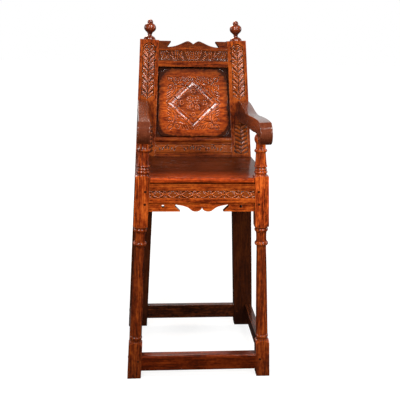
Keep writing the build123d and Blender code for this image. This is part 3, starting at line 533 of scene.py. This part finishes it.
def lozenge_frame(x, y, inside):
    """Two lines with a wide hollow between them, which has cross cuts at its corners."""
    h = -1.9 * vee(inside, 0.0, 2.1) - 2.1 * vee(inside, inner_line, 2.2)
    h -= 1.7 * vee(inside, hollow_middle, hollow_half)
    h -= 0.8 * crown(inside, hollow_middle, hollow_half)
    along = np.abs(x) / lozenge_half_width - np.abs(y) / lozenge_half_height
    cross = np.abs(np.abs(along) - 0.45) * lozenge_slant / 2
    in_frame = (inside > 3.0) & (inside < 18.5)
    h = np.where(in_frame, np.minimum(h, -3.6 * vee(cross, 0, 2.6)), h)
    lines = np.maximum(vee(inside, 0.0, 2.4), vee(inside, inner_line, 2.4))
    soot_and_shade = np.maximum(0.85 * lines, 0.85 * ease(vee(cross, 0, 3.0), 0.0, 0.5) * in_frame)
    return h, np.maximum(soot_and_shade, 0.5 * crown(inside, hollow_middle, 3.0))


def rosette(x, y):
    """Four petals in a cross between four round lobes, with a roundel beyond each side."""
    ground = lozenge_ground
    r = np.hypot(x, y)
    angle = np.arctan2(y, x)
    rough = ground + 0.15 * np.clip(ripple(x, y, 3.2, 31), 0, None)
    relief = (rough, np.full(np.shape(x), 0.5))
    # The lobes on their stalks, each in coordinates that run out along its own diagonal
    lobe_angle = np.mod(angle, pi / 2) - pi / 4
    px, py = r * np.cos(lobe_angle), r * np.sin(lobe_angle)
    lobe = np.hypot(px - 19.5, py)
    relief = lay(relief, crown(lobe, 6.6, 2.0), ground, 2.4)
    relief = lay(relief, crown(lobe, 0, 4.2), ground, 2.0)
    stalk = crown(np.abs(py) - 0.45 * (25.5 - px), 0, 1.7) * (px > 12)
    relief = lay(relief, stalk, ground, 2.1)
    # The petals, in the same way along the cross
    cross_angle = np.mod(angle + pi / 4, pi / 2) - pi / 4
    qx, qy = r * np.cos(cross_angle), r * np.sin(cross_angle)
    petal = np.hypot((qx - 9.6) / 6.4, qy / (3.0 + 0.16 * qx))
    relief = lay(relief, np.sqrt(np.clip(1 - petal**2, 0, 1)), ground, 2.6)
    relief = cut(relief, gouge(qx, qy, (7.5, 0.0), (14.5, 0.0), 2.4), 1.3, 0.7)
    relief = lay(relief, crown(qy, 0, 1.5) * (qx > 17) * (qx < 27), ground, 2.5)
    # The roundels, sunk in the ground: a ring round a boss
    h, soot_and_shade = relief
    sunk = ground - 0.4
    for middle in ((38.5, 0.5), (-38.5, 2.0), (-0.5, 39.0), (0, -38.5)):
        away = np.hypot(x - middle[0], y - middle[1])
        h = np.where(away < 8.6, sunk, h)
        soot_and_shade = np.where(away < 8.6, 0.7, soot_and_shade)
        h, soot_and_shade = lay((h, soot_and_shade), crown(away, 6.2, 2.3), sunk, 2.9)
        h, soot_and_shade = lay((h, soot_and_shade), crown(away, 0, 3.1), sunk, 2.7)
    return h, soot_and_shade


def spandrel(x, y):
    """Scrolled leaves in the corner outside the lozenge, for x and y above zero."""
    wide, fine = 4.8, 4.2
    depth = 2.0
    stems = (
        ([(69, 74), (63, 66), (55, 61.5), (44, 62), (33, 68)], wide),
        ([(69, 74), (63, 65), (59.5, 56), (60, 43), (67, 31)], wide),
        ([(52, 50), (38.5, 51), (52, 35.0), (52, 50)], fine),
        (curl((54.5, 78), 9.5, -1.0, -0.95, 0.5), fine),
        (curl((77.5, 55.5), 10.0, 2.6, 0.95, 0.5), fine),
    )
    deep = sum(depth * sharp(line_cut(x, y, points, width)) for points, width in stems)
    # Comb cuts along the field's two edges
    for i in range(4):
        foot = 42.0 - 8.4 * i
        deep += depth * sharp(gouge(x, y, (foot, 73.0 + 0.9 * i), (foot - 9.0, 87.5), 4.8))
        foot = 43.0 - 8.6 * i
        deep += depth * sharp(gouge(x, y, (71.5 + 0.9 * i, foot), (87.0, foot - 8.5), 5.0))
    # A leaf that points into the panel's corner
    base_x, base_y, length = 66.0, 71.0, np.hypot(21.0, 16.0)
    share = ((x - base_x) * 0.79 + (y - base_y) * 0.61) / length
    across = -(x - base_x) * 0.61 + (y - base_y) * 0.79
    outline = np.abs(across) - 6.2 * np.sin(pi * np.clip(share, 0, 1)) ** 0.8
    deep += depth * vee(outline, 0, 2.4) * (share > -0.02) * (share < 1.02)
    deep = np.minimum(deep, 2.2)
    return -deep, 0.8 * ease(deep, 0.9, 1.9)


def panel_front(u, v):
    """The raised field with its round corners, its carving and the grime at its edge."""
    side_margin, end_margin = 3.0, 1.5
    round_corner = 34.0
    bevel = 3.0
    width = back_half_width(rear_post_width + side_margin, v)
    low = panel_low + end_margin
    high = panel_high - end_margin
    # How far each point lies in from the field's edge, which wavers a little
    reach_u = np.abs(u) - (width - round_corner)
    reach_v = np.abs(v - (low + high) / 2) - ((high - low) / 2 - round_corner)
    outside = np.hypot(np.clip(reach_u, 0, None), np.clip(reach_v, 0, None))
    outside += np.minimum(np.maximum(reach_u, reach_v), 0)
    edge = round_corner - outside + 1.6 * ripple(u, v, 46.0, 24)
    # The ornament is drawn by hand, so its own coordinates waver as well.
    x = u + lozenge_shift + 1.1 * ripple(u, v, 75.0, 25)
    y = v - lozenge_middle + 0.9 * ripple(u, v, 75.0, 26)
    inside = 1 - np.abs(x) / lozenge_half_width - np.abs(y) / lozenge_half_height
    inside = inside * lozenge_depth
    h, soot_and_shade = lozenge_frame(x, y, inside)
    middle_h, middle_soot_and_shade = rosette(x, y)
    corner_h, corner_soot_and_shade = spandrel(np.abs(x), np.abs(y))
    in_rosette = inside > rosette_edge
    h = np.where(in_rosette, middle_h, np.where(inside < -0.9, corner_h, h))
    soot_and_shade = np.where(in_rosette, middle_soot_and_shade, np.where(inside < -2.0, corner_soot_and_shade, soot_and_shade))
    h += 0.04 * ripple(u, v, 14.0, 22) + 0.25 * ripple(u, v, 90.0, 23)
    in_corner = ease(np.minimum(reach_u, reach_v), -14.0, 12.0)
    grimy = edge + 2.2 * ripple(u, v, 17.0, 27) - 9.0 * in_corner
    soot_and_shade = np.maximum(soot_and_shade, 0.6 * (1 - ease(grimy, 5.0, 24.0)))
    soot_and_shade = np.maximum(soot_and_shade, 1 - ease(grimy, 2.5, 12.0))
    return -tongue_drop + (tongue_drop + h) * np.clip(edge / bevel, 0, 1), soot_and_shade


def carve_panel():
    """The whole panel, whose edges lie in the grooves of the frame round it."""
    tuck = 5.0  # how far it reaches into its grooves
    rows, columns, cell = 350, 400, 0.7
    vs = np.linspace(panel_low - tuck, panel_high + tuck, rows)
    ends = back_half_width(rear_post_width - tuck, vs)
    offset = -back_rail_setback - panel_recess
    return board(
        "carved_back_panel",
        back_face,
        vs,
        ends,
        columns,
        panel_front,
        -panel_thickness,
        cell,
        offset,
    )


# ---------------------------------------------------------------------------------------
# Materials: one waxed oak, tinted and turned for each part of the chair
# ---------------------------------------------------------------------------------------
# Colours for grime and painted shade in hollows, and for the darker end of a piece
grime_and_shade_colour = (0.010, 0.0035, 0.002)
smoke_and_shade_colour = (0.022, 0.0065, 0.003)


class Shader:
    """A node tree, built by short calls."""

    def __init__(self, tree):
        self.tree = tree
        self.tree.nodes.clear()

    def add(self, kind, inputs=None, **settings):
        """A node. Each input is linked to a socket or set to a value."""
        node = self.tree.nodes.new(kind)
        for key, value in settings.items():
            setattr(node, key, value)
        for socket, value in (inputs or {}).items():
            target = node.inputs[socket]
            if isinstance(value, bpy.types.NodeSocket):
                self.tree.links.new(value, target)
            else:
                target.default_value = value
        return node

    def math(self, operation, a, b, clamp=False):
        node = self.add("ShaderNodeMath", {0: a, 1: b}, operation=operation, use_clamp=clamp)
        return node.outputs[0]

    def swing(self, value, amount):
        """A noise turned into a swing of that amount about zero."""
        return self.math("MULTIPLY", self.math("SUBTRACT", value, 0.5), amount)

    def blend(self, factor, colour, over):
        inputs = {0: factor, 6: colour, 7: (*over, 1.0)}
        return self.add("ShaderNodeMix", inputs, data_type="RGBA").outputs[2]

    def span(self, value, low, high, to_low, to_high):
        inputs = {0: value, 1: low, 2: high, 3: to_low, 4: to_high}
        return self.add("ShaderNodeMapRange", inputs).outputs[0]

    def noise(self, vector, scale, detail, rough, distortion=0.0):
        inputs = {
            "Vector": vector,
            "Scale": scale,
            "Detail": detail,
            "Roughness": rough,
            "Distortion": distortion,
        }
        return self.add("ShaderNodeTexNoise", inputs).outputs[0]

    def stretched(self, coordinates, grain, stretch, seed):
        """Coordinates in which a texture runs out along the grain."""
        scale = [1.0, 1.0, 1.0]
        scale["XYZ".index(grain)] = stretch
        place = (seed * 1.37, seed * 2.11, seed * 0.73)
        inputs = {"Vector": coordinates, "Scale": scale, "Location": place}
        return self.add("ShaderNodeMapping", inputs).outputs[0]

    def ramp(self, factor, stops):
        node = self.add("ShaderNodeValToRGB", {0: factor})
        while len(node.color_ramp.elements) < len(stops):
            node.color_ramp.elements.new(0.5)
        for element, (position, colour) in zip(node.color_ramp.elements, stops):
            element.position = position
            element.color = (*colour, 1.0)
        return node.outputs[0]


def new_material(name):
    """A material and the shader that builds it."""
    material = bpy.data.materials.new(name)
    material.use_nodes = True
    return material, Shader(material.node_tree)


def bare_oak(s, here, grain, tones, seed, short, vivid):
    """The wood's colour, and the patches, fibre and dark pores that go with it."""
    dark, middle, light = tones

    def layer(stretch, step, *settings):
        return s.noise(s.stretched(here, grain, stretch, seed + step), *settings)

    # Each has its stretch, its step of the seed, scale, detail, roughness and distortion.
    figure = layer(0.09 * short, 0, 75.0, 3.0, 0.6, 0.8)
    fibre = layer(0.03, 3, 620.0, 3.0, 0.6)
    flecks = layer(0.3, 5, 330.0, 2.0, 0.5, 0.4)
    patches = layer(0.55, 7, 21.0, 3.0, 0.6)
    pores = layer(0.045, 9, 1250.0, 2.0, 0.5)
    streaks = layer(0.07 * short, 11, 210.0, 2.0, 0.6, 0.6)
    mottle = layer(0.6, 13, 150.0, 2.0, 0.5)
    rings = s.add(
        "ShaderNodeTexWave",
        {
            "Vector": s.stretched(here, grain, 0.12, seed + 1),
            "Scale": 58.0,
            "Distortion": 5.0,
            "Detail": 2.0,
            "Detail Scale": 0.6,
        },
        bands_direction="Z" if grain == "X" else "X",
        wave_profile="SAW",
    ).outputs["Fac"]
    tone = s.math("ADD", s.swing(figure, 1.1), s.swing(patches, 1.1))
    tone = s.math("ADD", tone, s.math("ADD", s.swing(streaks, 1.3), s.swing(mottle, 0.8)))
    tone = s.math("ADD", tone, s.math("ADD", s.swing(rings, 0.26), s.swing(fibre, 0.5)))
    tone = s.math("ADD", s.math("MULTIPLY", tone, vivid), 0.5, clamp=True)
    colour = s.ramp(tone, ((0.12, dark), (0.5, middle), (0.9, light)))
    colour = s.blend(s.span(flecks, 0.60, 0.70, 0.0, 0.3 * vivid), colour, light)
    dark_pores = s.span(pores, 0.60, 0.70, 0.0, 0.6 * vivid)
    colour = s.blend(dark_pores, colour, [channel * 0.4 for channel in dark])
    return colour, patches, fibre, dark_pores


def aged_and_shaded(s, here, colour, light, patches, smoke_and_shade):
    """The colour with ridges lightened by wear and painted sheen, hollows darkened by grime
    and painted shade, and one end darker, and the share of darkening in the hollows.
    """

    def occlusion(distance, samples, low, high, most, inside=False):
        inputs = {"Distance": distance}
        node = s.add("ShaderNodeAmbientOcclusion", inputs, samples=samples, inside=inside)
        return s.span(node.outputs["AO"], low, high, most, 0.0)

    # Painted shade with some grime: darker in crevices and, over a longer reach, in recesses,
    # by ambient occlusion.
    crevice = occlusion(0.03, 6, 0.2, 0.9, 0.8)
    recess = occlusion(0.2, 4, 0.15, 0.95, 0.62)
    # Painted sheen with real wear: convex edges and raised carving are lightened towards the
    # light tone.
    ridge = occlusion(0.004, 4, 0.4, 0.95, 0.6, inside=True)
    dirt_and_shade = s.add("ShaderNodeAttribute", attribute_name="dirt_and_shade").outputs["Fac"]
    rubbed_and_sheen = s.add("ShaderNodeAttribute", attribute_name="rubbed_and_sheen").outputs["Fac"]
    ridge = s.math("MAXIMUM", ridge, s.math("MULTIPLY", rubbed_and_sheen, 0.65))
    ridge = s.math("MULTIPLY", ridge, s.span(patches, 0.35, 0.6, 0.45, 1.0))
    colour = s.blend(ridge, colour, light)
    grime_and_shade = s.math("MAXIMUM", crevice, recess)
    grime_and_shade = s.math("MAXIMUM", grime_and_shade, s.math("MULTIPLY", dirt_and_shade, 0.92))
    colour = s.blend(grime_and_shade, colour, grime_and_shade_colour)
    # One end of a piece turns darker: painted shade on the seat, the front rail and the
    # panel; on the posts and the crest it is only darker towards one end.
    if smoke_and_shade:
        axis, low, high, amount = smoke_and_shade
        place = s.add("ShaderNodeSeparateXYZ", {0: here}).outputs[axis]
        place = s.math("ADD", place, s.swing(patches, 0.12))
        colour = s.blend(s.span(place, low, high, amount, 0.0), colour, smoke_and_shade_colour)
    return colour, grime_and_shade


def oak(name, grain, tones, seed, smoke_and_shade=None, uneven=0.4, wax=0.7, short=1.0, vivid=1.0):
    """Waxed oak with its grain along one axis. Hollows take grime and painted shade, and
    edges wear and a painted sheen.

    tones are its dark, middle and light colours. The darker end is given as (axis, from, to,
    amount), the places in metres between which it turns from dark, by that amount, to its
    own colour; on the seat, the front rail and the panel it is painted shade. A larger short
    breaks the figure up along the grain, and vivid is its contrast.
    """
    material, s = new_material(name)
    here = s.add("ShaderNodeTexCoord").outputs["Object"]
    wood, patches, fibre, pores = bare_oak(s, here, grain, tones, seed, short, vivid)
    colour, grime_and_shade = aged_and_shaded(s, here, wood, tones[2], patches, smoke_and_shade)

    rough = s.math("ADD", s.span(patches, 0.3, 0.7, 0.46, 0.32), s.swing(fibre, 0.1))
    rough = s.math("ADD", rough, s.math("MULTIPLY", grime_and_shade, 0.2), clamp=True)
    relief = s.math("ADD", s.math("MULTIPLY", fibre, 0.4), s.math("MULTIPLY", pores, -0.4))
    fine = s.add("ShaderNodeBump", {"Strength": 0.22, "Distance": 0.0003, "Height": relief})
    dents = s.noise(here, 40.0, 2.0, 0.45)
    dented = {"Strength": uneven, "Distance": 0.002, "Height": dents}
    worn = s.add("ShaderNodeBump", {**dented, "Normal": fine.outputs[0]})
    # The wax fills the pores, so only the dents show in its gloss.
    filled = s.add("ShaderNodeBump", dented)
    shader = s.add(
        "ShaderNodeBsdfPrincipled",
        {
            "Base Color": colour,
            "Roughness": rough,
            "Normal": worn.outputs[0],
            "Specular IOR Level": 0.02,
            "Coat Weight": wax,
            "Coat Roughness": 0.14,
            "Coat Normal": filled.outputs[0],
        },
    )
    s.add("ShaderNodeOutputMaterial", {"Surface": shader.outputs[0]})
    return material


def dress(piece, material):
    """Gives a piece one material in place of those that it has."""
    piece.data.materials.clear()
    piece.data.materials.append(material)


def shade(tones, share):
    """The same tones, lighter or darker by one share."""
    return [tuple(share * channel for channel in tone) for tone in tones]


def dress_chair(carvings):
    """Oak of its own for every node, shared by the carving that lies on it."""
    warm = ((0.085, 0.009, 0.001), (0.33, 0.046, 0.005), (0.62, 0.125, 0.014))
    red = ((0.050, 0.007, 0.0015), (0.145, 0.016, 0.002), (0.32, 0.046, 0.006))
    deep = ((0.014, 0.004, 0.002), (0.060, 0.013, 0.004), (0.20, 0.042, 0.010))
    turned = ((0.065, 0.009, 0.002), (0.30, 0.037, 0.005), (0.66, 0.125, 0.016))
    ball = ((0.08, 0.012, 0.004), (0.20, 0.032, 0.009), (0.34, 0.065, 0.018))
    arm = ((0.05, 0.011, 0.004), (0.16, 0.034, 0.013), (0.36, 0.10, 0.040))
    peg = ((0.010, 0.004, 0.002), (0.03, 0.008, 0.003), (0.12, 0.024, 0.006))

    plain = {}
    leg_finish = {"smoke_and_shade": ("Z", 0.40, 0.50, 0.5), "uneven": 0.15, "wax": 0.8}
    rear_finish = {"smoke_and_shade": ("Z", 0.50, 0.62, 0.86)}
    ball_finish = {"uneven": 0.05, "wax": 1.0}
    # Painted shadow: the front rail darkens towards its top, under the seat's edge.
    apron_finish_and_shadow = {"smoke_and_shade": ("Z", 0.605, 0.545, 0.42), "uneven": 0.3, "wax": 0.8}
    foot_finish = {"wax": 0.5, "short": 0.7}
    # Painted shade and highlight: the seat darkens towards the back, and its bright tones
    # show in full only along its front edge.
    seat_finish_and_painted_light = {
        "smoke_and_shade": ("Y", -0.12, -0.212, 0.84),
        "uneven": 0.3,
        "wax": 0.5,
        "short": 0.7,
    }
    arm_finish = {"uneven": 0.05, "wax": 1.0, "vivid": 0.3}
    rail_finish = {"uneven": 0.3, "wax": 1.0}
    crest_finish = {"smoke_and_shade": ("Z", 0.968, 0.942, 0.62), "uneven": 0.06, "wax": 0.8}
    # Painted shadow: the panel darkens towards its top, under the top rail.
    panel_finish_and_shadow = {
        "smoke_and_shade": ("Z", 0.91, 0.73, 0.72),
        "uneven": 0.03,
        "wax": 1.0,
        "short": 3.0,
        "vivid": 0.85,
    }

    # The grain's axis, the tones, the seed and the finish of each node, with painted shade on
    # some
    recipes = {
        "front_post_left": ("Z", turned, 1.0, leg_finish),
        "front_post_right": ("Z", shade(turned, 1.35), 2.0, leg_finish),
        "finial_left": ("Z", ball, 3.0, ball_finish),
        "finial_right": ("Z", ball, 4.0, ball_finish),
        "rear_post_left": ("Z", shade(warm, 0.78), 5.0, rear_finish),
        "rear_post_right": ("Z", shade(warm, 0.74), 6.0, rear_finish),
        "front_seat_rail": ("X", shade(warm, 1.2), 7.0, apron_finish_and_shadow),
        "side_seat_rail_left": ("Y", red, 8.0, plain),
        "side_seat_rail_right": ("Y", red, 9.0, plain),
        "rear_seat_rail": ("X", deep, 10.0, plain),
        "front_stretcher": ("X", shade(red, 0.82), 11.0, foot_finish),
        "side_stretcher_left": ("Y", deep, 12.0, plain),
        "side_stretcher_right": ("Y", deep, 13.0, plain),
        "rear_stretcher": ("X", deep, 14.0, plain),
        "seat_board": ("X", shade(red, 2.35), 15.0, seat_finish_and_painted_light),
        "arm_left": ("Y", shade(arm, 0.85), 16.0, arm_finish),
        "arm_right": ("Y", shade(arm, 0.85), 17.0, arm_finish),
        "lower_back_rail": ("X", shade(warm, 0.68), 18.0, rail_finish),
        "top_rail": ("X", shade(warm, 0.62), 19.0, crest_finish),
        "back_panel": ("X", shade(warm, 1.5), 20.0, panel_finish_and_shadow),
    }
    made = {}
    for node, (grain, tones, seed, finish) in recipes.items():
        made[node] = oak(f"oak_{node}", grain, tones, seed, **finish)
        dress(nodes[node], made[node])
    peg_oak = oak("oak_pegs", "Z", peg, 30.0)
    for node in nodes:
        if node.endswith("_pegs"):
            dress(nodes[node], peg_oak)
    for carving, node in carvings:
        dress(carving, made[node])


# ---------------------------------------------------------------------------------------
# Floor, light and camera
# ---------------------------------------------------------------------------------------
def make_floor():
    """A pale floor that glows a little, less so near the chair."""
    half = 30.0
    mesh = bpy.data.meshes.new("floor")
    corners = [(-half, -half, 0), (half, -half, 0), (half, half, 0), (-half, half, 0)]
    mesh.from_pydata(corners, [], [(0, 1, 2, 3)])
    floor = bpy.data.objects.new("floor", mesh)
    scene.collection.objects.link(floor)
    material, s = new_material("pale_floor")
    here = s.add("ShaderNodeTexCoord").outputs["Object"]
    reach = s.add("ShaderNodeVectorMath", {0: here}, operation="LENGTH").outputs["Value"]
    shader = s.add(
        "ShaderNodeBsdfPrincipled",
        {
            "Base Color": (0.3, 0.3, 0.3, 1.0),
            "Roughness": 0.9,
            "Specular IOR Level": 0.0,
            "Emission Color": (1.0, 1.0, 1.0, 1.0),
            "Emission Strength": s.span(reach, 0.4, 4.0, 0.8, 1.0),
        },
    )
    s.add("ShaderNodeOutputMaterial", {"Surface": shader.outputs[0]})
    dress(floor, material)
    # The chair stands in a dark studio, so the bright floor throws no light back at it.
    floor.visible_diffuse = False
    floor.visible_glossy = False


def softbox(name, place, target, size, watts, colour=(1.0, 1.0, 1.0)):
    """A rectangular lamp that faces its target."""
    light = bpy.data.lights.new(name, "AREA")
    light.shape = "RECTANGLE"
    light.size, light.size_y = size
    light.energy = watts
    light.color = colour
    lamp = bpy.data.objects.new(name, light)
    lamp.location = place
    aim = Vector(target) - Vector(place)
    lamp.rotation_euler = aim.to_track_quat("-Z", "Y").to_euler()
    scene.collection.objects.link(lamp)


def light_studio():
    """A dark room that the camera sees as white, with softboxes on all sides of the chair."""
    world = bpy.data.worlds.new("studio")
    scene.world = world
    world.use_nodes = True
    s = Shader(world.node_tree)
    around = s.add("ShaderNodeTexCoord").outputs["Generated"]
    direction = s.add("ShaderNodeSeparateXYZ", {0: around})
    behind = s.span(direction.outputs["Y"], 0.15, 0.75, 0.0, 0.6)
    above = s.span(direction.outputs["Z"], -0.12, 0.05, 0.0, 1.0)
    room = s.span(direction.outputs["Z"], -1.0, 1.0, 0.01, 0.05)
    light = s.math("ADD", s.math("MULTIPLY", behind, above), room)
    seen = s.add("ShaderNodeLightPath").outputs["Is Camera Ray"]
    inputs = {"Color": (1.0, 1.0, 1.0, 1.0), "Strength": s.math("MAXIMUM", light, seen)}
    background = s.add("ShaderNodeBackground", inputs)
    s.add("ShaderNodeOutputWorld", {"Surface": background.outputs[0]})

    back, seat, legs = (0, 0.2, 0.78), (0, 0, 0.6), (0, 0, 0.5)
    softbox("high_left", (-0.65, -1.33, 2.91), back, (0.6, 0.6), 33.0)
    softbox("high_right", (0.86, -1.22, 2.91), back, (0.6, 0.6), 33.0)
    softbox("window_left", (-1.2, -2.5, 1.45), seat, (0.7, 1.1), 31.0)
    softbox("window_right", (1.25, -2.45, 1.45), seat, (0.7, 1.1), 31.0)
    softbox("rear", (-0.4, 2.3, 2.3), seat, (1.4, 0.9), 42.0, (1.0, 0.8, 0.68))
    softbox("side_left", (-2.7, 0.5, 1.3), legs, (0.9, 1.3), 15.0)
    softbox("side_right", (2.7, 0.5, 1.3), legs, (0.9, 1.3), 15.0)


def place_camera():
    """The photograph's view, solved from the chair's straight edges."""
    frame_pixels = 400
    focal_pixels = 669.435
    yaw, pitch, roll = 0.082, 0.231, 0.018
    spot = Vector((-155.9, -1817.8 + front_face, 973.4)) * MM
    ahead = Vector((sin(yaw) * cos(pitch), cos(yaw) * cos(pitch), -sin(pitch)))
    flat_right = Vector((cos(yaw), -sin(yaw), 0))
    above = flat_right.cross(ahead)
    right = flat_right * cos(roll) + above * sin(roll)
    up = above * cos(roll) - flat_right * sin(roll)
    camera_data = bpy.data.cameras.new("camera")
    camera_data.sensor_width = 36.0
    camera_data.lens = focal_pixels / frame_pixels * camera_data.sensor_width
    camera = bpy.data.objects.new("camera", camera_data)
    turn = Matrix((right, up, -ahead)).transposed().to_4x4()
    camera.matrix_world = Matrix.Translation(spot) @ turn
    scene.collection.objects.link(camera)
    scene.camera = camera


panel = carve_panel()
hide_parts("back_panel")
dress_chair([(panel, "back_panel"), *carve_stiles(), *carve_rails()])
make_floor()
light_studio()
place_camera()
scene.view_settings.view_transform = "Standard"
